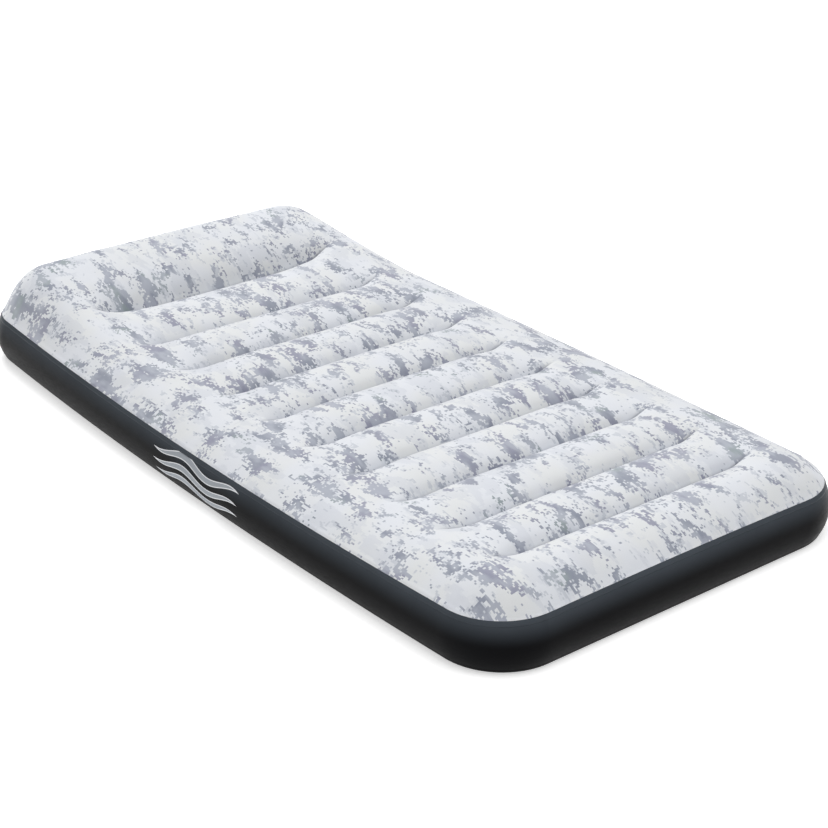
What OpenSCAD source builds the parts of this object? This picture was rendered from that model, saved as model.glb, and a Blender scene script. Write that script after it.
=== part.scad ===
// Inflated camping air mattress with a built-in pillow cell and a two-in-one valve.
// Millimetres. +Z is up, +Y points to the pillow end, the origin is bottom centre.

/* [Mattress size] */

// Length over the bulging end walls
overall_length = 1880; // [1500:10:2100]
// Width over the bulging long walls, at mid length
overall_width = 990; // [700:10:1400]
// Height of the seam where the wall meets the top sheet
wall_height = 112; // [96:2:140]
// Height of the body crowns between two creases
crown_height = 152; // [140:2:200]
// Height of the pillow crown
pillow_height = 214; // [180:2:280]
// Plan radius of the four corners
corner_radius = 124; // [80:2:160]
// How far each long side bows out in plan
side_bow = 22; // [8:1:40]

/* [Skins] */

// Thickness of the top, wall and bottom skins
skin = 1.5; // [1:0.1:3]
// How far the wall bulges past its seam
wall_bulge = 22; // [10:1:30]
// Height of the widest line of the wall
bulge_height = 54; // [54:1:60]
// Width of the rounded rim between seam and crown
rim_width = 108; // [60:2:120]
// Height of the inner seam bands
band_height = 12; // [6:1:12]

/* [Creases and beams] */

// Distance between the two creases nearest the foot end
crease_pitch = 137; // [120:1:145]
// How much wider each channel is than its neighbour on the foot side
channel_growth = 3.3; // [0:0.1:4]
// Extra width of the channel beside the pillow
first_extra = 34; // [0:1:40]
// Distance from the last crease to the foot seam
foot_cell = 148; // [130:2:170]
// Depth of a crease below the crown
crease_depth = 27; // [10:1:40]
// Half length of a crease and of its beam
crease_half = 352; // [280:2:380]
// Thickness of a beam web
web = 1.2; // [0.8:0.1:3]
// Width of the tapes that tie a beam to the skins
tape_width = 14; // [8:1:24]

/* [Valve] */

// Distance of the valve from the middle of the pillow end
valve_x = -250; // [-260:10:260]
// Radius of the pump port
port_radius = 9.5; // [7:0.5:10]

/* [Hidden] */
tape = 0.8;
crease_count = 10;
half_len = overall_length / 2 - wall_bulge;
half_wid = overall_width / 2 - wall_bulge;
corner_y = half_len - corner_radius;
corner_x = half_wid - side_bow - corner_radius;
span_x = half_wid - corner_x - corner_radius;
arc_radius = (corner_y * corner_y + span_x * span_x) / (2 * span_x);
arc_x = half_wid - arc_radius;
tie_x = arc_x + sqrt(pow(arc_radius - corner_radius, 2) - corner_y * corner_y);
tie_angle = asin(corner_y / (arc_radius - corner_radius));
tie_y = corner_y + corner_radius * sin(tie_angle);
seam_rise = wall_height - bulge_height;
wall_radius = (seam_rise * seam_rise + wall_bulge * wall_bulge) / (2 * wall_bulge);
wall_centre = wall_bulge - wall_radius;
first_crease = -half_len + foot_cell;
plate_offset = wall_centre + sqrt(pow(wall_radius - skin, 2) - pow(bulge_height, 2)) - 0.2;
band_gap = skin + 0.35;

// Creases are numbered from the pillow end, so n counts up from the foot end.
function crease_at(n) = first_crease + n * crease_pitch + channel_growth * n * (n - 1) / 2;
function crease_y(i) = crease_at(crease_count - i) + (i == 1 ? first_extra : 0);
pillow_crease = crease_y(1);
pillow_span = half_len - pillow_crease;

function ease(t) = let (c = min(1, max(0, t))) c * c * (3 - 2 * c);

// Half width of the seam outline at a given y.
function inset_x(y) = let (k = min(abs(y), corner_y) / corner_y) corner_x + side_bow * (1 - k * k);
function over_y(y) = max(abs(y) - corner_y, 0);
function half_at(y) = inset_x(y) + sqrt(max(0, pow(corner_radius, 2) - pow(over_y(y), 2)));

// Distance inward from the seam outline, up to the corner radius.
function inward(x, y) = corner_radius - norm([max(abs(x) - inset_x(y), 0), over_y(y)]);
function rim(x, y) = 1 - pow(1 - min(1, max(0, inward(x, y) / rim_width)), 2.4);

// Height added by the pillow: steep above its crease, gradual along the side rails.
// Midway along the bed the rails sit a little lower than the crowns.
function swell_mid(y) = 1 - pow(1 - min(1, max(0, (y - pillow_crease) / (0.8 * pillow_span))), 2.1);
function swell_rail(y) = ease((y - pillow_crease + 216) / 500);
function rail(x) = ease((abs(x) - 160) / 260);
function swell(x, y) = swell_mid(y) * (1 - rail(x)) + swell_rail(y) * rail(x);
function sag(x, y) = 14 * rail(x) * max(0, 1 - pow((y + 120) / 650, 2));

// Crease troughs: a sharp valley between two round crowns, fading at both ends.
function fade(x) = 1 - ease((abs(x) - crease_half + 70) / 70);
function reach_up(i) = i == 1 ? 0.6 * crease_pitch : (crease_y(i - 1) - crease_y(i)) / 2;
function reach_down(i) = i == crease_count ? 0.5 * crease_pitch : (crease_y(i) - crease_y(i + 1)) / 2;
function trough(d, i) = let (t = max(0, 1 - (d > 0 ? d / reach_up(i) : -d / reach_down(i))))
    0.55 * pow(t, 1.8) + 0.45 * pow(t, 7);
function troughs(y) = max([for (i = [1:crease_count]) trough(y - crease_y(i), i)]);
function crown(x, y) = crown_height + (pillow_height - crown_height) * swell(x, y) - sag(x, y);
function top_z(x, y) =
    wall_height + (crown(x, y) - crease_depth * troughs(y) * fade(x) - wall_height) * rim(x, y);

// Rows and columns of the top sheet grid.
cell_steps = [0, 0.08, 0.2, 0.35, 0.5, 0.65, 0.8, 0.92];
rows = concat(
    [for (d = [0, 5, 14, 26, 40, 56, 74, 92, 112, 130, 141]) -half_len + d],
    [for (i = [crease_count:-1:2]) for (t = cell_steps) crease_y(i) + t * (crease_y(i - 1) - crease_y(i))],
    [for (s = [0, 10, 24, 42]) pillow_crease + s],
    [for (d = [222, 186, 154, 126, 104, 80, 58, 40, 26, 14, 5, 0]) half_len - d]
);
cols = [-1, -0.98, -0.945, -0.9, -0.85, -0.79, -0.72, -0.64, -0.45, -0.2, 0,
    0.2, 0.45, 0.64, 0.72, 0.79, 0.85, 0.9, 0.945, 0.98, 1];
row_count = len(rows);
col_count = len(cols);

function outer_point(r, c) =
    let (y = rows[r], x = cols[c] * half_at(y), edge = r == 0 || r == row_count - 1 || abs(cols[c]) == 1)
    [x, y, edge ? wall_height : top_z(x, y)];
function inner_point(r, c) =
    let (p = outer_point(r, c), y = sign(p[1]) * min(abs(p[1]), half_len - skin))
    let (x = cols[c] * (half_at(y) - skin), thin = skin * min(1, inward(p[0], p[1]) / 5))
    [x, y, max(wall_height, p[2] - thin)];

valve_axis_y = half_len + wall_bulge;

skin_white = [0.86, 0.87, 0.9];
wall_grey = [0.2, 0.22, 0.25];
beam_grey = [0.62, 0.64, 0.68];
valve_grey = [0.3, 0.32, 0.35];
seal_white = [0.88, 0.88, 0.85];

// Flocked top sheet: an outer and an inner surface joined along the rim.
module top_sheet() {
    outer = [for (r = [0:row_count - 1]) for (c = [0:col_count - 1]) outer_point(r, c)];
    inner = [for (r = [0:row_count - 1]) for (c = [0:col_count - 1]) inner_point(r, c)];
    total = row_count * col_count;
    up = [for (r = [0:row_count - 2]) for (c = [0:col_count - 2])
        let (a = r * col_count + c, b = a + 1, d = a + col_count, e = d + 1)
        each (c < (col_count - 1) / 2 ? [[a, e, b], [a, d, e]] : [[a, d, b], [b, d, e]])];
    down = [for (f = up) [f[2] + total, f[1] + total, f[0] + total]];
    loop = concat(
        [for (c = [0:col_count - 1]) c],
        [for (r = [1:row_count - 1]) r * col_count + col_count - 1],
        [for (c = [col_count - 2:-1:0]) (row_count - 1) * col_count + c],
        [for (r = [row_count - 2:-1:1]) r * col_count]
    );
    side = [for (k = [0:len(loop) - 1])
        let (p = loop[k], q = loop[(k + 1) % len(loop)])
        each [[p, q, q + total], [p, q + total, p + total]]];
    color(skin_white)
    polyhedron(points = concat(outer, inner), faces = concat(up, down, side), convexity = 8);
}

// Seam outline as [x, y, outward x, outward y], anticlockwise from the middle of the right side.
side_steps = 6;
corner_steps = 14;
function outline_point(x, y, r, a) = [x + r * cos(a), y + r * sin(a), cos(a), sin(a)];
quarter = concat(
    [for (k = [0:side_steps - 1]) outline_point(arc_x, 0, arc_radius, tie_angle * k / side_steps)],
    [for (k = [0:corner_steps])
        outline_point(tie_x, corner_y, corner_radius, tie_angle + (90 - tie_angle) * k / corner_steps)]
);
quarter_end = len(quarter) - 1;
outline = concat(
    quarter,
    [for (k = [quarter_end:-1:1]) [-quarter[k][0], quarter[k][1], -quarter[k][2], quarter[k][3]]],
    [for (p = quarter) -p],
    [for (k = [quarter_end:-1:1]) [quarter[k][0], -quarter[k][1], quarter[k][2], -quarter[k][3]]]
);

// A closed section of [offset, height] points swept around the whole outline.
module swept(section) {
    n = len(section);
    total = len(outline);
    faces = [for (s = [0:total - 1]) for (k = [0:n - 1])
        let (a = s * n, b = ((s + 1) % total) * n, next = (k + 1) % n)
        [a + k, a + next, b + next, b + k]];
    polyhedron(
        points = [for (s = outline) for (p = section) [s[0] + s[2] * p[0], s[1] + s[3] * p[0], p[1]]],
        faces = faces,
        convexity = 8
    );
}

// Arc-shaped section of the wall between two depths from its outer face.
function wall_arc(depth, z) = wall_centre + sqrt(pow(wall_radius - depth, 2) - pow(z - bulge_height, 2));
function wall_section(outer_depth, inner_depth, low, high, steps) = concat(
    [for (k = [0:steps]) let (z = low + (high - low) * k / steps) [wall_arc(outer_depth, z), z]],
    [for (k = [steps:-1:0]) let (z = low + (high - low) * k / steps) [wall_arc(inner_depth, z), z]]
);

module side_wall() {
    color(wall_grey)
    difference() {
        swept(wall_section(0, skin, 0, wall_height, 12));
        translate([valve_x, valve_axis_y - 30, bulge_height])
        rotate([-90, 0, 0])
        cylinder(r = 22.3, h = 60, $fn = 64);
    }
}

module top_weld_band() {
    color(wall_grey)
    swept(wall_section(band_gap, band_gap + 1, wall_height - band_height, wall_height, 2));
}

module bottom_weld_band() {
    color(wall_grey)
    swept(wall_section(band_gap, band_gap + 1, skin + 0.2, skin + band_height, 2));
}

// Flat bottom sheet, just inside the foot of the wall.
module bottom_sheet() {
    color(wall_grey)
    linear_extrude(height = skin)
    union() {
        intersection() {
            translate([arc_x, 0])
            circle(r = arc_radius + plate_offset, $fn = 1440);
            translate([-arc_x, 0])
            circle(r = arc_radius + plate_offset, $fn = 1440);
            square([2 * overall_width, 2 * tie_y], center = true);
        }
        square([2 * tie_x, 2 * (half_len + plate_offset)], center = true);
        for (sx = [-1, 1], sy = [-1, 1])
        translate([sx * tie_x, sy * corner_y])
        circle(r = corner_radius + plate_offset, $fn = 96);
    }
}

// Lowest height of the sheet's underside across the width of a tape.
function under_z(x, y) = min([for (d = [-0.5, 0, 0.5]) top_z(x, y + d * tape_width)]) - skin;

// Line under the top sheet along crease i, lowered by drop, as [x, z] points from left to right.
function under_row(i) = let (y = crease_y(i))
    [for (c = cols) [c * (half_at(y) - skin), under_z(c * half_at(y), y)]];
function under_line(i, drop) = let (row = under_row(i)) concat(
    [[-crease_half, lookup(-crease_half, row) - drop]],
    [for (p = row) if (abs(p[0]) < crease_half - 1) [p[0], p[1] - drop]],
    [[crease_half, lookup(crease_half, row) - drop]]
);
function reversed(list) = [for (k = [len(list) - 1:-1:0]) list[k]];
tape_gap = 0.4;

module i_beam(i) {
    foot = skin + tape;
    color(beam_grey)
    translate([0, crease_y(i) + web / 2, 0])
    rotate([90, 0, 0])
    linear_extrude(height = web)
    polygon(concat([[-crease_half, foot], [crease_half, foot]], reversed(under_line(i, tape_gap + tape))));
}

module i_beam_01() { i_beam(1); }
module i_beam_02() { i_beam(2); }
module i_beam_03() { i_beam(3); }
module i_beam_04() { i_beam(4); }
module i_beam_05() { i_beam(5); }
module i_beam_06() { i_beam(6); }
module i_beam_07() { i_beam(7); }
module i_beam_08() { i_beam(8); }
module i_beam_09() { i_beam(9); }
module i_beam_10() { i_beam(10); }

// Welding tapes under the creases, one strip per beam.
module beam_top_tapes() {
    color(beam_grey)
    for (i = [1:crease_count])
    translate([0, crease_y(i) + tape_width / 2, 0])
    rotate([90, 0, 0])
    linear_extrude(height = tape_width)
    polygon(concat(under_line(i, tape_gap + tape), reversed(under_line(i, tape_gap))));
}

module beam_bottom_tapes() {
    color(beam_grey)
    for (i = [1:crease_count])
    translate([-crease_half, crease_y(i) - tape_width / 2, skin])
    cube([2 * crease_half, tape_width, tape]);
}

// Valve parts are drawn along +Z from the widest line of the wall, then laid to face +Y.
module at_valve() {
    translate([valve_x, valve_axis_y, bulge_height])
    rotate([-90, 0, 0])
    children();
}

// A disc that hugs the wall, between two depths from its outer face.
module hugging_disc(radius, outer_depth, inner_depth) {
    intersection() {
        difference() {
            rotate([0, 90, 0])
            translate([wall_radius, 0, -radius - 5])
            cylinder(r = wall_radius - outer_depth, h = 2 * radius + 10, $fn = 180);
            rotate([0, 90, 0])
            translate([wall_radius, 0, -radius - 6])
            cylinder(r = wall_radius - inner_depth, h = 2 * radius + 12, $fn = 180);
        }
        translate([0, 0, -30])
        cylinder(r = radius, h = 50, $fn = 72);
    }
}

// Vinyl doubler welded to the inside of the wall around the valve.
module valve_patch() {
    color(wall_grey)
    at_valve()
    difference() {
        hugging_disc(39, band_gap, band_gap + 1);
        translate([0, 0, -30])
        cylinder(r = 22.3, h = 60, $fn = 64);
    }
}

// Outer collar: a flange on the wall and a threaded neck through it.
module valve_collar() {
    color(valve_grey)
    at_valve()
    difference() {
        union() {
            hugging_disc(34, -1.8, 0);
            translate([0, 0, -16])
            cylinder(r = 22, h = 19, $fn = 64);
        }
        translate([0, 0, -17])
        cylinder(r = 19, h = 22, $fn = 64);
    }
}

// Flat ring under the head of the screw-in body.
module stem_gasket() {
    color(seal_white)
    at_valve()
    translate([0, 0, 3])
    difference() {
        cylinder(r = 22, h = 1.2, $fn = 64);
        translate([0, 0, -1])
        cylinder(r = 19, h = 4, $fn = 64);
    }
}

// Screw-in body: cup, head with grip notches, pump port and the bridge that guides the flap.
module valve_stem() {
    color(valve_grey)
    at_valve()
    difference() {
        union() {
            difference() {
                translate([0, 0, -18])
                cylinder(r = 18.92, h = 22.2, $fn = 64);
                translate([0, 0, -19])
                cylinder(r = 16.5, h = 20, $fn = 64);
            }
            translate([0, 0, 4.2])
            cylinder(r = 24.5, h = 2.6, $fn = 64);
            translate([0, 0, -9])
            cylinder(r = port_radius + 2.5, h = 18.8, $fn = 64);
            translate([0, 0, -18])
            cylinder(r = 3.2, h = 2.5, $fn = 32);
            for (a = [0, 60, 120])
            rotate([0, 0, a])
            translate([-17.5, -1.2, -18])
            cube([35, 2.4, 2.5]);
        }
        translate([0, 0, -9.5])
        cylinder(r = port_radius, h = 22, $fn = 64);
        translate([0, 0, -19])
        cylinder(r = 1.38, h = 5, $fn = 32);
        for (a = [30:60:330])
        rotate([0, 0, a])
        translate([26, 0, 3])
        cylinder(r = 3, h = 6, $fn = 24);
    }
}

// One-way flap: a disc under the port with a guide pin through the bridge.
module flap_disc() {
    color(seal_white)
    at_valve()
    union() {
        translate([0, 0, -10.9])
        cylinder(r = port_radius + 2, h = 1.8, $fn = 48);
        translate([0, 0, -19.5])
        cylinder(r = 1.3, h = 9, $fn = 24);
    }
}

// Collar of the cap strap around the port rim, with the hinge barrel below the port.
module cap_strap() {
    color(valve_grey)
    at_valve()
    difference() {
        union() {
            translate([0, 0, 7])
            cylinder(r = 16.8, h = 1.2, $fn = 64);
            translate([-4.5, 12, 7])
            cube([9, 11.5, 1.2]);
            translate([-5.5, 24, 9])
            rotate([0, 90, 0])
            cylinder(r = 1.6, h = 11, $fn = 32);
            translate([-8.6, 24, 9])
            rotate([0, 90, 0])
            cylinder(r = 0.9, h = 17.2, $fn = 32);
        }
        translate([0, 0, 6])
        cylinder(r = port_radius + 2.6, h = 4, $fn = 64);
    }
}

// Flip cap: a lid with a skirt over the port rim and two hinge ears.
module valve_cap() {
    color(valve_grey)
    at_valve()
    difference() {
        union() {
            translate([0, 0, 8.4])
            cylinder(r = 15.6, h = 4.1, $fn = 64);
            for (s = [-1, 1])
            translate([s * 7.25 - 1.15, 8, 8.6])
            cube([2.3, 16, 1.6]);
            for (s = [-1, 1])
            translate([s * 7.25 - 1.15, 24, 9])
            rotate([0, 90, 0])
            cylinder(r = 1.9, h = 2.3, $fn = 32);
            translate([-5, -18.5, 10.9])
            cube([10, 6, 1.6]);
        }
        translate([0, 0, 7])
        cylinder(r = port_radius + 2.8, h = 3.8, $fn = 64);
        translate([-10, 24, 9])
        rotate([0, 90, 0])
        cylinder(r = 0.98, h = 20, $fn = 32);
    }
}

// Soft sealing ring inside the cap, resting on the port rim.
module cap_seal() {
    color(seal_white)
    at_valve()
    translate([0, 0, 9.9])
    difference() {
        cylinder(r = port_radius + 2.6, h = 0.8, $fn = 64);
        translate([0, 0, -1])
        cylinder(r = port_radius + 0.4, h = 3, $fn = 64);
    }
}

top_sheet();
side_wall();
bottom_sheet();
top_weld_band();
bottom_weld_band();
i_beam_01();
i_beam_02();
i_beam_03();
i_beam_04();
i_beam_05();
i_beam_06();
i_beam_07();
i_beam_08();
i_beam_09();
i_beam_10();
beam_top_tapes();
beam_bottom_tapes();
valve_patch();
valve_collar();
stem_gasket();
valve_stem();
flap_disc();
cap_strap();
valve_cap();
cap_seal();
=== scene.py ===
"""Looks of an inflated camping air mattress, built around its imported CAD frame.

Sizes are in metres, +Z is up and +Y points to the pillow.
"""

import math

import bpy
import numpy as np
from mathutils import Matrix, Vector


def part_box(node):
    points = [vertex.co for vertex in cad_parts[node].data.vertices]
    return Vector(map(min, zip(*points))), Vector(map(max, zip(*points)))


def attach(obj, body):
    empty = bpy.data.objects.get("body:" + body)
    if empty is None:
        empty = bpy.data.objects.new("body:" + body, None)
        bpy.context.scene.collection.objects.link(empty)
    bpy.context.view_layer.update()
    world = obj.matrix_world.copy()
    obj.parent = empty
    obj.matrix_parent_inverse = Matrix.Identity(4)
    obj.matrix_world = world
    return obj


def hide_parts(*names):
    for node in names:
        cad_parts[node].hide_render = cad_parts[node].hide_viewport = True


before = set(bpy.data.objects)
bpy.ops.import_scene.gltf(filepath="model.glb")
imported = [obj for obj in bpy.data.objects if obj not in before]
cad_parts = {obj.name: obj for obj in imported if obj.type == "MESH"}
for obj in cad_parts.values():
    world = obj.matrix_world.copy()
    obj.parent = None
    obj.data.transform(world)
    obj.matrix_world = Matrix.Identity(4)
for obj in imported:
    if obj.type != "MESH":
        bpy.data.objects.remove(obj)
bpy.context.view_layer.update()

# ---- Sizes read from the frame ----
HALF_WIDTH, HALF_LENGTH, _ = np.array(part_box("top_sheet")[1])
_, WALL_END, SEAM_Z = np.array(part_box("side_wall")[1])
BULGE = WALL_END - HALF_LENGTH
BEAM_BOXES = [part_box(f"i_beam_{i:02d}") for i in range(1, 11)]
CREASE_Y = np.array([(low[1] + high[1]) / 2 for low, high in BEAM_BOXES])
CREASE_HALF = BEAM_BOXES[0][1][0]
VALVE_CENTRE = np.array(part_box("valve_collar")).mean(0)[[0, 2]]

# ---- Sizes of the skin, as in the CAD source ----
CROWN_Z = 0.152
PILLOW_Z = 0.214
CORNER_RADIUS = 0.124
SIDE_BOW = 0.022
RIM_WIDTH = 0.108
BULGE_Z = 0.054
RIM_POWER = 2.4
PILLOW_SPAN, PILLOW_POWER = 0.8, 2.1
CREASE_DEPTH = 0.027
REACH_ABOVE_FIRST = 0.0822
REACH_BELOW_LAST = 0.0685
RAIL_START, RAIL_BLEND = 0.16, 0.26
RAIL_RISE_LEAD, RAIL_RISE_LENGTH = 0.216, 0.5
RAIL_SAG, SAG_CENTRE_Y, SAG_REACH = 0.014, -0.12, 0.65
CORNER_Y = HALF_LENGTH - CORNER_RADIUS
CORNER_X = HALF_WIDTH - SIDE_BOW - CORNER_RADIUS

# ---- Sizes only the looks have ----
FABRIC = 0.0011
BAND_FABRIC = 0.0006
PILLOW_UNDER_CAD = 0.001
SKIRT, SKIRT_GAP = 0.006, 0.0003
WALL_INSET = 0.0004
HOLE_RADIUS = 0.024
FOOT_RADIUS, FOOT_TUCK = 0.011, 0.004
FLOOR_GAP = 0.0004
SIDE_DIP, FOOT_RISE = 0.005, 0.006
CREASE_FADE = 0.09
GROOVE_DEPTH, GROOVE_WIDTH = 0.001, 0.0028
RIDGE_HEIGHT, RIDGE_WIDTH = 0.0022, 0.009
PRINT_CELL = (0.0030, 0.0044, 1.0)

# ---- Counts ----
NOISE_CELLS = 97
TOP_COLUMNS = 177
CORNER_ROWS = 23
ROW_STEP = 0.0052


def ease(t):
    t = np.clip(t, 0, 1)
    return t * t * (3 - 2 * t)


def soft_noise(x, y, size, seed):
    """Smooth noise from -1 to 1 with features of about the given size in metres."""
    table = np.random.default_rng(seed).uniform(-1, 1, (NOISE_CELLS, NOISE_CELLS))
    gx, gy = x / size + 41.3, y / size + 37.7
    ix, iy = np.floor(gx).astype(int), np.floor(gy).astype(int)
    fx, fy = ease(gx - ix), ease(gy - iy)

    def at(a, b):
        return table[a % NOISE_CELLS, b % NOISE_CELLS]

    low = at(ix, iy) * (1 - fx) + at(ix + 1, iy) * fx
    high = at(ix, iy + 1) * (1 - fx) + at(ix + 1, iy + 1) * fx
    return low * (1 - fy) + high * fy


# ---- Shape of the top skin ----
def inset_x(y):
    """Where the corner's centre line lies: the sides bow outward in the middle."""
    k = np.minimum(np.abs(y), CORNER_Y) / CORNER_Y
    return CORNER_X + SIDE_BOW * (1 - k * k)


def over_y(y):
    """How far a place lies past the corner centres, lengthwise."""
    return np.maximum(np.abs(y) - CORNER_Y, 0)


def half_at(y):
    """Half the width of the seam's outline."""
    return inset_x(y) + np.sqrt(np.maximum(CORNER_RADIUS**2 - over_y(y) ** 2, 0))


def seam_z(x, y):
    """The seam dips a little along the sides and rises a little across the foot."""
    side = 1 - np.clip(np.abs(y) / CORNER_Y, 0, 1) ** 2
    foot = ease((-y - CORNER_Y) / CORNER_RADIUS) * (1 - np.clip(np.abs(x) / HALF_WIDTH, 0, 1) ** 2)
    return SEAM_Z - SIDE_DIP * side + FOOT_RISE * foot


def inward(x, y):
    """Distance inward from the seam, up to the corner radius."""
    return CORNER_RADIUS - np.hypot(np.maximum(np.abs(x) - inset_x(y), 0), over_y(y))


def rim(x, y):
    """Zero at the seam and one where the rounded rim meets the crowns."""
    return 1 - (1 - np.clip(inward(x, y) / RIM_WIDTH, 0, 1)) ** RIM_POWER


def rail(x):
    """Zero between the rails and one on them."""
    return ease((np.abs(x) - RAIL_START) / RAIL_BLEND)


def crown(x, y):
    """Height of the crowns, with the pillow's swell and the small sag of the side rails."""
    pillow = CREASE_Y[0]
    span = PILLOW_SPAN * (HALF_LENGTH - pillow)
    middle = 1 - (1 - np.clip((y - pillow) / span, 0, 1)) ** PILLOW_POWER
    along_rail = ease((y - pillow + RAIL_RISE_LEAD) / RAIL_RISE_LENGTH)
    swell = middle * (1 - rail(x)) + along_rail * rail(x)
    sag = RAIL_SAG * rail(x) * np.maximum(0, 1 - ((y - SAG_CENTRE_Y) / SAG_REACH) ** 2)
    return CROWN_Z + (PILLOW_Z - PILLOW_UNDER_CAD - CROWN_Z) * swell - sag


def trough(x, y):
    """Depth share of the crease valleys, and the signed distance to the nearest crease."""
    # A wide valley with a narrow one at the weld.
    depth = np.zeros_like(y)
    nearest = np.full_like(y, 1.0)
    fade = 1 - ease((np.abs(x) - CREASE_HALF + CREASE_FADE) / CREASE_FADE)
    for i, crease in enumerate(CREASE_Y):
        up = REACH_ABOVE_FIRST if i == 0 else (CREASE_Y[i - 1] - crease) / 2
        down = REACH_BELOW_LAST if i == len(CREASE_Y) - 1 else (crease - CREASE_Y[i + 1]) / 2
        d = y - crease
        share = np.clip(1 - np.where(d > 0, d / up, -d / down), 0, 1)
        depth = np.maximum(depth, 0.55 * share**1.8 + 0.45 * share**7)
        nearest = np.where(np.abs(d) < np.abs(nearest), d, nearest)
    return depth * fade, nearest


def crease_line(x, y):
    """One along each weld line, falling off within a few millimetres and near both ends."""
    _, nearest = trough(x, y)
    ends = ease((np.abs(x) - CREASE_HALF + 0.05) / 0.05)
    return np.exp(-np.abs(nearest) / GROOVE_WIDTH) * (1 - ends)


def crease_wrinkles(x, y):
    """Small pulls in the cloth: across each crease, and fanning out of its two ends."""
    out = np.zeros_like(x)
    for i, crease in enumerate(CREASE_Y):
        d = y - crease
        inside = 1 - ease((np.abs(x) - CREASE_HALF + 0.03) / 0.04)
        pull = np.exp(-np.abs(d) / 0.013) * inside
        out += 0.0004 * pull * soft_noise(x, d, 0.018, 300 + i) * ease(np.abs(d) / 0.004)
        for side in (-1, 1):
            dx, dy = side * x - (CREASE_HALF - 0.035), d
            reach = np.hypot(dx, dy)
            angle = np.arctan2(dy, dx)
            seed = 400 + 2 * i + (side > 0)
            fan = 0.5 + 0.5 * soft_noise(angle * 0.02, reach * 0.15, 0.0062, seed)
            spread = np.exp(-(((reach - 0.04) / 0.022) ** 2))
            out += 0.0006 * fan * spread * ease((dx + 0.03) / 0.05)
    return out


def seam_wrinkles(x, y):
    """Gathers along the welded seam, strongest round the corners."""
    inside = np.maximum(inward(x, y), 0)
    corner = ease((np.abs(y) - CORNER_Y + 0.03) / 0.06) * ease((np.abs(x) - CORNER_X + 0.03) / 0.06)
    turn = np.arctan2(over_y(y), np.maximum(np.abs(x) - inset_x(y), 1e-4)) * CORNER_RADIUS
    along = np.where(np.abs(x) > CORNER_X, np.abs(y), np.abs(x)) + turn
    ripple = soft_noise(along + 3 * np.sign(x) + 7 * np.sign(y), inside * 0.2, 0.017, 11)
    rise = ease(inside / 0.008) * np.exp(-inside / 0.03)
    return (0.0007 + 0.0011 * corner) * ripple * rise


def top_surface(x, y):
    """Height of the top skin."""
    wave = 0.0016 * soft_noise(x, y, 0.16, 5) + 0.0007 * soft_noise(x, y, 0.06, 6)
    valley, _ = trough(x, y)
    groove = GROOVE_DEPTH * crease_line(x, y)
    start = seam_z(x, y)
    share = rim(x, y)
    body = start + (crown(x, y) - CREASE_DEPTH * valley - start) * share - groove
    settle = ease(inward(x, y) / 0.06)
    wrinkles = crease_wrinkles(x, y) + seam_wrinkles(x, y)
    return body + wave * settle * (1 - valley) + wrinkles * ease(share * 4)


# ---- Mesh helpers ----
def make_object(name, points, faces):
    mesh = bpy.data.meshes.new(name)
    mesh.from_pydata([tuple(p) for p in points], [], faces)
    mesh.validate()
    mesh.update()
    mesh.polygons.foreach_set("use_smooth", [True] * len(mesh.polygons))
    obj = bpy.data.objects.new(name, mesh)
    bpy.context.scene.collection.objects.link(obj)
    return obj


def grid_faces(rows, cols):
    return [
        (r * cols + c, r * cols + c + 1, (r + 1) * cols + c + 1, (r + 1) * cols + c)
        for r in range(rows - 1)
        for c in range(cols - 1)
    ]


def ring_faces(rings, count, first=0):
    """Faces between rings of points that close on themselves, listed from the top down."""
    faces = []
    for start in range(first, first + (rings - 1) * count, count):
        for j in range(count):
            j2 = (j + 1) % count
            faces.append((start + count + j, start + count + j2, start + j2, start + j))
    return faces


def add_vector(obj, name, values):
    attribute = obj.data.attributes.new(name, "FLOAT_VECTOR", "POINT")
    attribute.data.foreach_set("vector", np.asarray(values, np.float32).ravel())


def apply_modifiers(obj):
    bpy.context.view_layer.update()
    graph = bpy.context.evaluated_depsgraph_get()
    mesh = bpy.data.meshes.new_from_object(obj.evaluated_get(graph))
    old = obj.data
    obj.modifiers.clear()
    obj.data = mesh
    mesh.name = old.name
    bpy.data.meshes.remove(old)


def thicken(obj, depth):
    """Give a sheet its thickness, inward from its faces."""
    shell = obj.modifiers.new("thickness", "SOLIDIFY")
    shell.thickness = depth
    shell.offset = -1
    shell.use_even_offset = False
    apply_modifiers(obj)


def arc_length(points):
    return np.concatenate([[0], np.cumsum(np.linalg.norm(np.diff(points, axis=0), axis=-1))])


# ---- Top skin ----
def spaced(start, end, count):
    """Steps from start to end, closer together near both."""
    t = np.linspace(0, 1, count + 1)
    return start + (end - start) * (0.5 * t + 0.25 * (1 - np.cos(np.pi * t)))


def top_rows():
    corner = CORNER_RADIUS * np.sin(np.linspace(np.pi / 2, 0, CORNER_ROWS))
    breaks = [-CORNER_Y, *CREASE_Y[::-1], CORNER_Y]
    rows = list(-CORNER_Y - corner)
    for start, end in zip(breaks[:-1], breaks[1:]):
        rows += list(spaced(start, end, max(6, round((end - start) / ROW_STEP)))[1:])
    return np.array(rows + list(CORNER_Y + corner[::-1])[1:])


def build_top():
    """Points of the top skin, and where each lies on the printed cloth."""
    rows = top_rows()
    t = np.linspace(-1, 1, TOP_COLUMNS)
    cols = 0.62 * t + 0.38 * np.sin(np.pi / 2 * t)
    y = np.repeat(rows[:, None], len(cols), 1)
    x = cols[None, :] * half_at(y)
    points = np.stack([x, y, top_surface(x, y)], -1)
    # The print runs straight, so it is measured along one lengthwise and one crosswise line only.
    middle_col, middle_row = len(cols) // 2, len(rows) // 2
    along = arc_length(points[:, middle_col])
    across = arc_length(points[middle_row])
    across = np.interp(x, x[middle_row], across - across[middle_col])
    along = np.repeat((along - along[middle_row])[:, None], len(cols), 1)
    return points, np.stack([across, along, 0 * x], -1)


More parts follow.
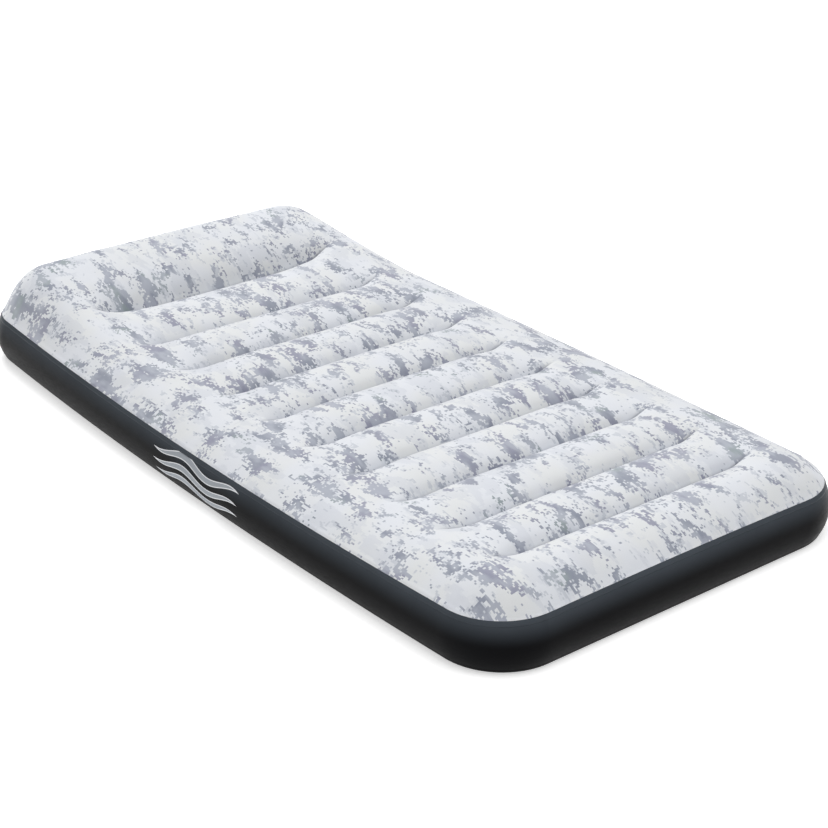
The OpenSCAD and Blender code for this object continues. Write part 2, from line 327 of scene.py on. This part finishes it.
def edge_loop(grid):
    """The border of a grid, anticlockwise from its first corner."""
    return np.concatenate([grid[0, :-1], grid[:-1, -1], grid[-1, :0:-1], grid[:0:-1, 0]])


def outline_normals(loop):
    """Outward directions round the seam, smoothed over a few neighbours."""
    step = np.roll(loop, -1, 0) - np.roll(loop, 1, 0)
    normal = np.stack([step[:, 1], -step[:, 0]], -1)
    normal /= np.linalg.norm(normal, axis=1)[:, None]
    for _ in range(12):
        normal = (np.roll(normal, 1, 0) + 2 * normal + np.roll(normal, -1, 0)) / 4
    return normal / np.linalg.norm(normal, axis=1)[:, None]


top_grid, top_flat = build_top()
seam = edge_loop(top_grid)
seam_out = outline_normals(seam[:, :2])
seam_flat = edge_loop(top_flat)
rows_n, cols_n = top_grid.shape[:2]
loop_index = edge_loop(np.arange(rows_n * cols_n).reshape(rows_n, cols_n, 1))[:, 0]
loop_n = len(seam)
around = arc_length(seam)

wall_radius = ((SEAM_Z - BULGE_Z) ** 2 + BULGE**2) / (2 * BULGE)


def wall_offset(z):
    """How far the bulging wall stands outside the seam at a height."""
    return BULGE - wall_radius + np.sqrt(wall_radius**2 - (z - BULGE_Z) ** 2)


def build_skirt():
    """The sheet turns over the seam and ends in a narrow welded skirt on the wall."""
    rings, flats, faces = [], [], []
    first = rows_n * cols_n
    for down in (0.0009, 0.0024, 0.0042, SKIRT):
        ring = seam.copy()
        ring[:, :2] += seam_out * (float(wall_offset(SEAM_Z - down)) + FABRIC + SKIRT_GAP)
        ring[:, 2] -= down
        rings.append(ring)
        flats.append(seam_flat + np.c_[seam_out * down, np.zeros(loop_n)])
    for j in range(loop_n):
        j2 = (j + 1) % loop_n
        faces.append((int(loop_index[j2]), int(loop_index[j]), first + j, first + j2))
    return rings, flats, faces + ring_faces(len(rings), loop_n, first)


skirt_rings, skirt_flats, skirt_faces = build_skirt()
points = np.concatenate([top_grid.reshape(-1, 3), *skirt_rings])
top_skin = make_object("top_skin", points, grid_faces(rows_n, cols_n) + skirt_faces)
add_vector(top_skin, "print_place", np.concatenate([top_flat.reshape(-1, 3), *skirt_flats]))
# Painted shade along each crease: this mask darkens the print near each weld line in the shader.
painted_crease_shade = np.zeros((len(points), 3))
painted_crease_shade[: rows_n * cols_n, 0] = crease_line(top_grid[..., 0], top_grid[..., 1]).ravel()
add_vector(top_skin, "painted_crease_shade", painted_crease_shade)
thicken(top_skin, FABRIC)


# ---- Side wall ----
def build_wall():
    """Section rings from under the skirt, over the bulge, to the fold under the wall's foot."""
    heights = np.concatenate([np.linspace(1.0, 0.9, 7), np.linspace(0.9, 0.1, 30)[1:]])
    rings, places = [], []
    pull = soft_noise(around, 0 * around, 0.05, 71)
    for share in heights:
        z = share * SEAM_Z
        under_seam = math.exp(-((1 - share) * SEAM_Z) / 0.012) * ease((1 - share) / 0.05)
        slow = soft_noise(around, np.full(loop_n, z), 0.14, 72)
        out = wall_offset(np.full(loop_n, z)) - WALL_INSET
        out = out + 0.0007 * pull * under_seam
        out = out + 0.0009 * slow * ease((1 - share) / 0.3) * share
        ring = seam.copy()
        ring[:, :2] += seam_out * out[:, None]
        ring[:, 2] = seam[:, 2] * share
        rings.append(ring)
        places.append(np.c_[around, np.full(loop_n, z), 0 * around])
    last = rings[-1]
    base = last[:, 2].mean()
    for turn in np.linspace(0, 1, 9)[1:]:
        angle = turn * math.pi / 2
        ring = last.copy()
        ring[:, :2] -= seam_out * (FOOT_TUCK * turn + FOOT_RADIUS * (1 - math.cos(angle)))
        ring[:, 2] = last[:, 2] + (FLOOR_GAP - last[:, 2]) * math.sin(angle)
        rings.append(ring)
        places.append(np.c_[around, np.full(loop_n, base * (1 - turn)), 0 * around])
    return np.array(rings), np.array(places)


def cut_valve_hole(points, faces):
    """Open a round hole for the valve collar; returns the moved points and the faces left."""
    faces = np.array(faces)
    from_axis = points[:, [0, 2]] - VALVE_CENTRE
    reach = np.where(points[:, 1] < 0, math.inf, np.hypot(*from_axis.T))
    inside = reach[faces].mean(1) < HOLE_RADIUS
    edge = np.intersect1d(faces[inside], faces[~inside])
    points = points.copy()
    old_z = points[edge, 2]
    points[edge[:, None], [0, 2]] = VALVE_CENTRE + from_axis[edge] * (HOLE_RADIUS / reach[edge])[:, None]
    points[edge, 1] += wall_offset(points[edge, 2]) - wall_offset(old_z)
    return points, faces[~inside]


wall_rings, wall_places = build_wall()
wall_points, wall_faces = cut_valve_hole(wall_rings.reshape(-1, 3), ring_faces(len(wall_rings), loop_n))
used, compact = np.unique(wall_faces, return_inverse=True)
wall_faces = compact.reshape(wall_faces.shape)
wall_skin = make_object("wall_skin", wall_points[used], wall_faces.tolist())
add_vector(wall_skin, "wall_place", wall_places.reshape(-1, 3)[used])
add_vector(wall_skin, "mark_place", wall_points[used][:, [1, 2, 0]])


# ---- Weld band: a vinyl strip over the wall just under the skirt ----
def build_band():
    """A thin strip lying on the wall; the profile is (outward, down) from the seam."""
    profile = [(0.0, 0.0046), (0.0008, 0.0064), (0.0009, 0.0098), (0.0008, 0.0132), (0.0, 0.0152)]
    rings, places = [], []
    for out, down in profile:
        uneven = 0.75 + 0.25 * soft_noise(around, 0 * around, 0.03, 91)
        step = wall_offset(SEAM_Z - down) + 0.0002 + out * uneven
        ring = seam.copy()
        ring[:, :2] += seam_out * step[:, None]
        ring[:, 2] -= down + 0.0003 * soft_noise(around, 0 * around, 0.05, 92)
        rings.append(ring)
        places.append(np.c_[around, np.full(loop_n, SEAM_Z - down), 0 * around])
    return np.array(rings), np.array(places)


band_rings, band_places = build_band()
weld_band = make_object("weld_band", band_rings.reshape(-1, 3), ring_faces(len(band_rings), loop_n))
add_vector(weld_band, "wall_place", band_places.reshape(-1, 3))
thicken(weld_band, BAND_FABRIC)


# ---- Bottom skin ----
def build_bottom():
    """A flat sheet inside the wall's foot, with shallow ridges where the beams are welded to it."""
    foot = wall_rings[-1]
    shares = np.concatenate([[1.0, 0.995, 0.985], np.linspace(0.97, 0.02, 60)])
    rings = []
    for share in shares:
        ring = foot.copy()
        ring[:, :2] *= share
        near = np.min(np.abs(ring[:, 1:2] - CREASE_Y[None, :]), axis=1)
        inside = 1 - ease((np.abs(ring[:, 0]) - CREASE_HALF) / 0.02)
        ridge = RIDGE_HEIGHT * np.exp(-((near / RIDGE_WIDTH) ** 2)) * inside
        ring[:, 2] += ridge * ease((1 - share) / 0.05)
        rings.append(ring)
    points = np.concatenate([np.concatenate(rings), [[0, 0, 0.0006]]])
    faces = ring_faces(len(rings), loop_n)
    last = (len(rings) - 1) * loop_n
    faces += [(len(points) - 1, last + (j + 1) % loop_n, last + j) for j in range(loop_n)]
    return points, faces


bottom_skin = make_object("bottom_skin", *build_bottom())


# ---- Materials ----
class Graph:
    """A short way to write a shader's nodes."""

    def __init__(self, name):
        self.material = bpy.data.materials.new(name)
        self.material.use_nodes = True
        self.tree = self.material.node_tree
        self.tree.nodes.clear()
        self.shader = self.node("ShaderNodeBsdfPrincipled")
        output = self.node("ShaderNodeOutputMaterial")
        self.tree.links.new(self.shader.outputs[0], output.inputs["Surface"])

    def node(self, kind, inputs=None, **settings):
        node = self.tree.nodes.new(kind)
        for key, value in settings.items():
            setattr(node, key, value)
        for key, value in (inputs or {}).items():
            self.put(node.inputs[key], value)
        return node

    def put(self, socket, value):
        if hasattr(value, "is_linked"):
            self.tree.links.new(value, socket)
        else:
            socket.default_value = value

    def set(self, **inputs):
        for key, value in inputs.items():
            self.put(self.shader.inputs[key.replace("_", " ")], value)

    def place(self, name):
        return self.node("ShaderNodeAttribute", attribute_name=name).outputs["Vector"]

    def object_place(self):
        return self.node("ShaderNodeTexCoord").outputs["Object"]

    def vector(self, operation, a, b):
        return self.node("ShaderNodeVectorMath", {0: a, 1: b}, operation=operation).outputs[0]

    def math(self, operation, a, b=0.0, clamp=False):
        return self.node("ShaderNodeMath", {0: a, 1: b}, operation=operation, use_clamp=clamp).outputs[0]

    def noise(self, place, scale, detail=2.0, roughness=0.5, distortion=0.0):
        inputs = {"Vector": place, "Scale": scale, "Detail": detail, "Roughness": roughness}
        inputs["Distortion"] = distortion
        return self.node("ShaderNodeTexNoise", inputs).outputs["Fac"]

    def ramp(self, value, low, high, to_low=0.0, to_high=1.0, smooth=True):
        inputs = {"Value": value, "From Min": low, "From Max": high, "To Min": to_low, "To Max": to_high}
        kind = "SMOOTHSTEP" if smooth else "LINEAR"
        return self.node("ShaderNodeMapRange", inputs, interpolation_type=kind).outputs["Result"]

    def mix(self, share, a, b, blend="MIX"):
        node = self.node("ShaderNodeMix", data_type="RGBA", blend_type=blend)
        for index, value in ((0, share), (6, a), (7, b)):
            self.put(node.inputs[index], value)
        return node.outputs[2]

    def bump(self, height, distance, strength=1.0, under=None):
        node = self.node("ShaderNodeBump", {"Height": height, "Distance": distance, "Strength": strength})
        if under is not None:
            self.tree.links.new(under, node.inputs["Normal"])
        return node.outputs[0]


def srgb(code):
    values = [int(code[i : i + 2], 16) / 255 for i in (1, 3, 5)]
    return (*[v / 12.92 if v <= 0.04045 else ((v + 0.055) / 1.055) ** 2.4 for v in values], 1.0)


def flocked_print():
    """Short-pile flock with a grey digital camouflage print."""
    g = Graph("flocked_print")
    place = g.place("print_place")
    pixel = g.vector("SNAP", place, PRINT_CELL)
    stretched = g.vector("MULTIPLY", pixel, (1.2, 0.52, 1.0))
    zones = g.noise(g.vector("ADD", place, (3.1, 7.7, 0.0)), 5.0, 1.0)
    blotch = g.noise(stretched, 22.0, 4.0, 0.6, 0.1)
    speck = g.noise(g.vector("MULTIPLY", pixel, (1.0, 0.7, 1.0)), 135.0, 1.0, 0.6)
    grain = g.node("ShaderNodeTexWhiteNoise", {"Vector": pixel}, noise_dimensions="3D").outputs["Value"]
    field = g.math("ADD", blotch, g.math("MULTIPLY", g.math("SUBTRACT", speck, 0.5), 0.42))
    field = g.math("ADD", field, g.math("MULTIPLY", g.math("SUBTRACT", grain, 0.5), 0.03))
    field = g.math("ADD", field, g.math("MULTIPLY", g.math("SUBTRACT", zones, 0.5), 0.34))
    dark = g.ramp(field, 0.553, 0.557)
    wash_field = g.noise(g.vector("ADD", stretched, (5.3, 1.9, 0.0)), 16.0, 3.0, 0.6, 0.3)
    wash = g.ramp(g.math("ADD", wash_field, g.math("MULTIPLY", speck, 0.1)), 0.58, 0.61)
    hue = g.noise(g.vector("ADD", place, (9.1, 2.3, 0.0)), 9.0, 1.0)
    tone = g.noise(g.vector("ADD", stretched, (1.7, 4.1, 0.0)), 30.0, 2.0)
    grey = g.mix(g.ramp(hue, 0.42, 0.62), srgb("#8d93a1"), srgb("#9294a6"))
    grey = g.mix(g.ramp(hue, 0.38, 0.32), grey, srgb("#929da1"))
    grey = g.mix(g.ramp(tone, 0.42, 0.58, 0.0, 0.75), grey, srgb("#b0b5c0"))
    base = g.mix(g.ramp(hue, 0.35, 0.65), srgb("#dcdfe5"), srgb("#dddfe0"))
    fleck_field = g.noise(g.vector("ADD", stretched, (8.2, 6.1, 0.0)), 60.0, 3.0, 0.7)
    near_blotch = g.math("MULTIPLY", g.math("SUBTRACT", blotch, 0.5), 0.6)
    fleck = g.ramp(g.math("ADD", fleck_field, near_blotch), 0.575, 0.58)
    colour = g.mix(g.math("MULTIPLY", wash, 0.4), base, srgb("#c6cad3"))
    colour = g.mix(g.math("MULTIPLY", fleck, 0.7), colour, srgb("#bcc1ca"))
    colour = g.mix(dark, colour, grey)
    # Painted shade: the print is darkened towards grey along each crease line.
    line = g.node("ShaderNodeSeparateXYZ", {0: g.place("painted_crease_shade")}).outputs[0]
    colour = g.mix(g.ramp(line, 0.05, 0.9, 0.0, 0.7), colour, srgb("#787d88"))
    pile = g.noise(place, 900.0, 2.0, 0.7)
    brushed = g.noise(g.vector("MULTIPLY", place, (1.0, 0.35, 1.0)), 60.0, 3.0, 0.6)
    colour = g.mix(g.ramp(brushed, 0.3, 0.7, 0.0, 0.08), colour, srgb("#ececef"))
    colour = g.mix(g.ramp(pile, 0.35, 0.75, 0.0, 0.10), colour, srgb("#83868f"))
    g.set(Base_Color=colour, Roughness=g.ramp(brushed, 0.3, 0.7, 0.86, 0.97))
    g.set(Sheen_Weight=0.45, Sheen_Roughness=0.45, Specular_IOR_Level=0.12)
    nap = g.bump(brushed, 0.0006, 0.4)
    g.set(Normal=g.bump(pile, 0.0005, 0.4, nap))
    return g.material


def wave_mark(g):
    """Masks of three parallel printed waves on the left wall: their fill, and their pale outline."""
    half_pitch, centre_y, centre_z, half_length = 0.012, -0.055, 0.056, 0.155
    split = g.node("ShaderNodeSeparateXYZ", {0: g.place("mark_place")})
    y, z, x = split.outputs
    along = g.math("DIVIDE", g.math("SUBTRACT", y, centre_y), half_length)
    from_middle = g.math("ABSOLUTE", along)
    swing = g.math("MULTIPLY", g.math("SINE", g.math("MULTIPLY", along, 5.5)), 0.0075)
    level = g.math("SUBTRACT", g.math("SUBTRACT", z, centre_z), swing)
    from_gap = g.math("PINGPONG", g.math("ADD", level, 21 * half_pitch), half_pitch)
    from_line = g.math("SUBTRACT", half_pitch, from_gap)
    thick = g.math("MULTIPLY", g.math("SUBTRACT", 1.0, g.math("POWER", from_middle, 3.0)), 0.0072)
    left = g.math("LESS_THAN", x, -0.3)
    near = g.math("MULTIPLY", g.math("LESS_THAN", g.math("ABSOLUTE", level), 0.034), left)
    near = g.math("MULTIPLY", near, g.math("LESS_THAN", from_middle, 1.0))
    edge = g.math("SUBTRACT", thick, from_line)
    outline = g.math("MULTIPLY", g.ramp(edge, 0.0, 0.0004), near)
    fill = g.math("MULTIPLY", g.ramp(edge, 0.0018, 0.0022), near)
    return fill, outline


def wall_vinyl(name, emblem):
    """Satin charcoal vinyl with a fine emboss and faint scuffs, painted shade that darkens it towards the
    floor, and with or without the printed mark.
    """
    g = Graph(name)
    place = g.place("wall_place")
    emboss = g.noise(place, 1400.0, 2.0, 0.6)
    cloud = g.noise(place, 7.0, 3.0, 0.6)
    scuff = g.noise(g.vector("MULTIPLY", place, (1.0, 6.0, 1.0)), 45.0, 4.0, 0.7)
    height = g.node("ShaderNodeSeparateXYZ", {0: place}).outputs[1]
    # Painted shade: the colour runs from near black at the floor to lighter grey near the seam, standing
    # in for light from above.
    colour = g.mix(g.ramp(height, 0.058, 0.118), srgb("#060608"), srgb("#4e545b"))
    colour = g.mix(g.ramp(cloud, 0.3, 0.7, 0.0, 0.15), colour, srgb("#15171a"))
    colour = g.mix(g.ramp(scuff, 0.62, 0.8, 0.0, 0.15), colour, srgb("#3a3e44"))
    if emblem:
        fill, outline = wave_mark(g)
        colour = g.mix(outline, colour, srgb("#e3e5e8"))
        colour = g.mix(fill, colour, srgb("#9fa4aa"))
    g.set(Base_Color=colour, Roughness=g.ramp(scuff, 0.3, 0.75, 0.36, 0.5))
    g.set(Specular_IOR_Level=0.045)
    g.set(Normal=g.bump(emboss, 0.00025, 0.3, g.bump(cloud, 0.0012, 0.12)))
    return g.material


def moulded(name, code, roughness):
    """Fine-grained moulded plastic or rubber."""
    g = Graph(name)
    place = g.object_place()
    grain = g.noise(place, 2600.0, 2.0, 0.6)
    cloud = g.noise(place, 60.0, 3.0, 0.6)
    light = srgb(code)
    dark = tuple(0.8 * v for v in light[:3]) + (1.0,)
    g.set(Base_Color=g.mix(cloud, dark, light))
    g.set(Roughness=g.ramp(cloud, 0.3, 0.7, roughness - 0.06, roughness + 0.08))
    g.set(Normal=g.bump(grain, 0.00012, 0.4))
    return g.material


flock = flocked_print()
vinyl = wall_vinyl("wall_vinyl", True)
band_vinyl = wall_vinyl("band_vinyl", False)
base_vinyl = moulded("base_vinyl", "#2b2e33", 0.5)
beam_film = moulded("beam_film", "#8f949c", 0.35)
valve_plastic = moulded("valve_plastic", "#3a3e44", 0.42)
seal_rubber = moulded("seal_rubber", "#d9d9d2", 0.6)


def dress(obj, material):
    obj.data.materials.clear()
    obj.data.materials.append(material)


dress(top_skin, flock)
dress(wall_skin, vinyl)
dress(weld_band, band_vinyl)
dress(bottom_skin, base_vinyl)
finishes = {
    "i_beam": beam_film,
    "beam_": beam_film,
    "bottom_weld": base_vinyl,
    "valve_patch": base_vinyl,
    "valve_": valve_plastic,
    "cap_strap": valve_plastic,
    "stem_gasket": seal_rubber,
    "flap_disc": seal_rubber,
    "cap_seal": seal_rubber,
}
VALVE_PIECES = ("valve_c", "valve_s", "cap_", "stem_", "flap_")
EDGE_ROUND = 0.0003
for name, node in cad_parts.items():
    for start, material in finishes.items():
        if name.startswith(start):
            for slot in node.material_slots:
                slot.material = material
            break
    if name.startswith(VALVE_PIECES):
        edge = node.modifiers.new("soft_edges", "BEVEL")
        edge.width = EDGE_ROUND
        edge.segments = 2
        edge.limit_method = "ANGLE"

for piece, node, slot in (
    (top_skin, "top_sheet", "flocked_top"),
    (wall_skin, "side_wall", "wall_vinyl"),
    (weld_band, "top_weld_band", "wall_vinyl"),
    (bottom_skin, "bottom_sheet", "base_vinyl"),
):
    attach(piece, "mattress")
    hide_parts(node)

# ---- Floor, light and camera ----
FLOOR = 9.0
corners = [(-FLOOR, -FLOOR, 0), (FLOOR, -FLOOR, 0), (FLOOR, FLOOR, 0), (-FLOOR, FLOOR, 0)]
floor = make_object("studio_floor", corners, [(0, 1, 2, 3)])
floor_paint = Graph("studio_floor")
speckle = floor_paint.noise(floor_paint.object_place(), 3.0, 2.0)
floor_paint.set(Base_Color=floor_paint.mix(speckle, (0.9, 0.9, 0.9, 1), (0.92, 0.92, 0.92, 1)))
floor_paint.set(Roughness=0.9, Emission_Color=(1, 1, 1, 1), Emission_Strength=0.55)
dress(floor, floor_paint.material)

world = bpy.data.worlds.new("studio")
bpy.context.scene.world = world
world.use_nodes = True
sky = world.node_tree.nodes["Background"]
sky.inputs["Color"].default_value = (1, 1, 1, 1)
sky.inputs["Strength"].default_value = 0.34


def softbox(name, place, target, size, power):
    lamp = bpy.data.lights.new(name, "AREA")
    lamp.shape = "RECTANGLE"
    lamp.size, lamp.size_y = size
    lamp.energy = power
    obj = bpy.data.objects.new(name, lamp)
    obj.location = place
    obj.rotation_euler = (Vector(target) - Vector(place)).to_track_quat("-Z", "Y").to_euler()
    bpy.context.scene.collection.objects.link(obj)


softbox("back_softbox", (1.4, 4.2, 4.0), (0, 0, 0.1), (3.4, 1.8), power=268)
softbox("top_softbox", (-0.3, -1.5, 2.7), (0, -0.6, 0), (2.2, 1.8), power=39)


def add_camera(azimuth, elevation, roll, distance, lens, shift):
    az, el = math.radians(azimuth), math.radians(elevation)
    away = Vector((math.sin(az) * math.cos(el), -math.cos(az) * math.cos(el), math.sin(el)))
    camera = bpy.data.objects.new("camera", bpy.data.cameras.new("camera"))
    camera.data.sensor_width = 36
    camera.data.lens = lens
    camera.data.shift_x, camera.data.shift_y = shift
    camera.data.clip_end = 60
    turn = (-away).to_track_quat("-Z", "Y").to_matrix().to_4x4()
    tilt = Matrix.Rotation(math.radians(roll), 4, "Z")
    camera.matrix_world = Matrix.Translation(away * distance) @ turn @ tilt
    bpy.context.scene.collection.objects.link(camera)
    bpy.context.scene.camera = camera


add_camera(
    azimuth=-37.22, elevation=26.08, roll=-0.317, distance=4.0797, lens=81.70, shift=(0.0489, 0.0181)
)
bpy.context.scene.view_settings.view_transform = "Standard"
